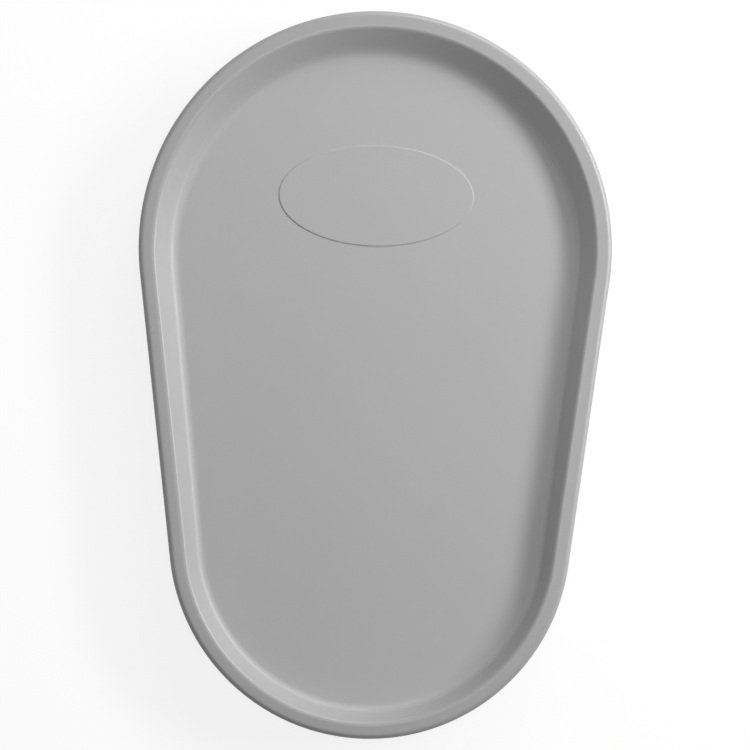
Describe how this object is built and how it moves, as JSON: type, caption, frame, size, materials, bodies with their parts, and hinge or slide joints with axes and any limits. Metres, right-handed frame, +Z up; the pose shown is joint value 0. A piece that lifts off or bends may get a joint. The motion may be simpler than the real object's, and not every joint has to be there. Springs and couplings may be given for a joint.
{
  "type": "changing mat",
  "caption": "Shallow foam tray for changing a baby on: egg-shaped outline, raised rim all round, flat floor and rubber grip pads underneath.",
  "frame": {"origin": "centre of the mat's bounding box, on the plane that the grip pads stand on", "axes": "+Y along the length towards the wide head end, +X across the width, +Z up out of the tray"},
  "size_m": [0.4554, 0.7, 0.05],
  "materials": {
    "moulded_skin": "matte",
    "foam": "matte",
    "rubber": "matte"
  },
  "bodies": {
    "root": {"tray_skin": "moulded_skin", "base_skin": "moulded_skin", "foam_core": "foam", "grip_pad_head_left": "rubber", "grip_pad_head_right": "rubber", "grip_pad_middle_left": "rubber", "grip_pad_middle_right": "rubber", "grip_pad_foot_left": "rubber", "grip_pad_foot_right": "rubber"}
  },
  "joints": []
}
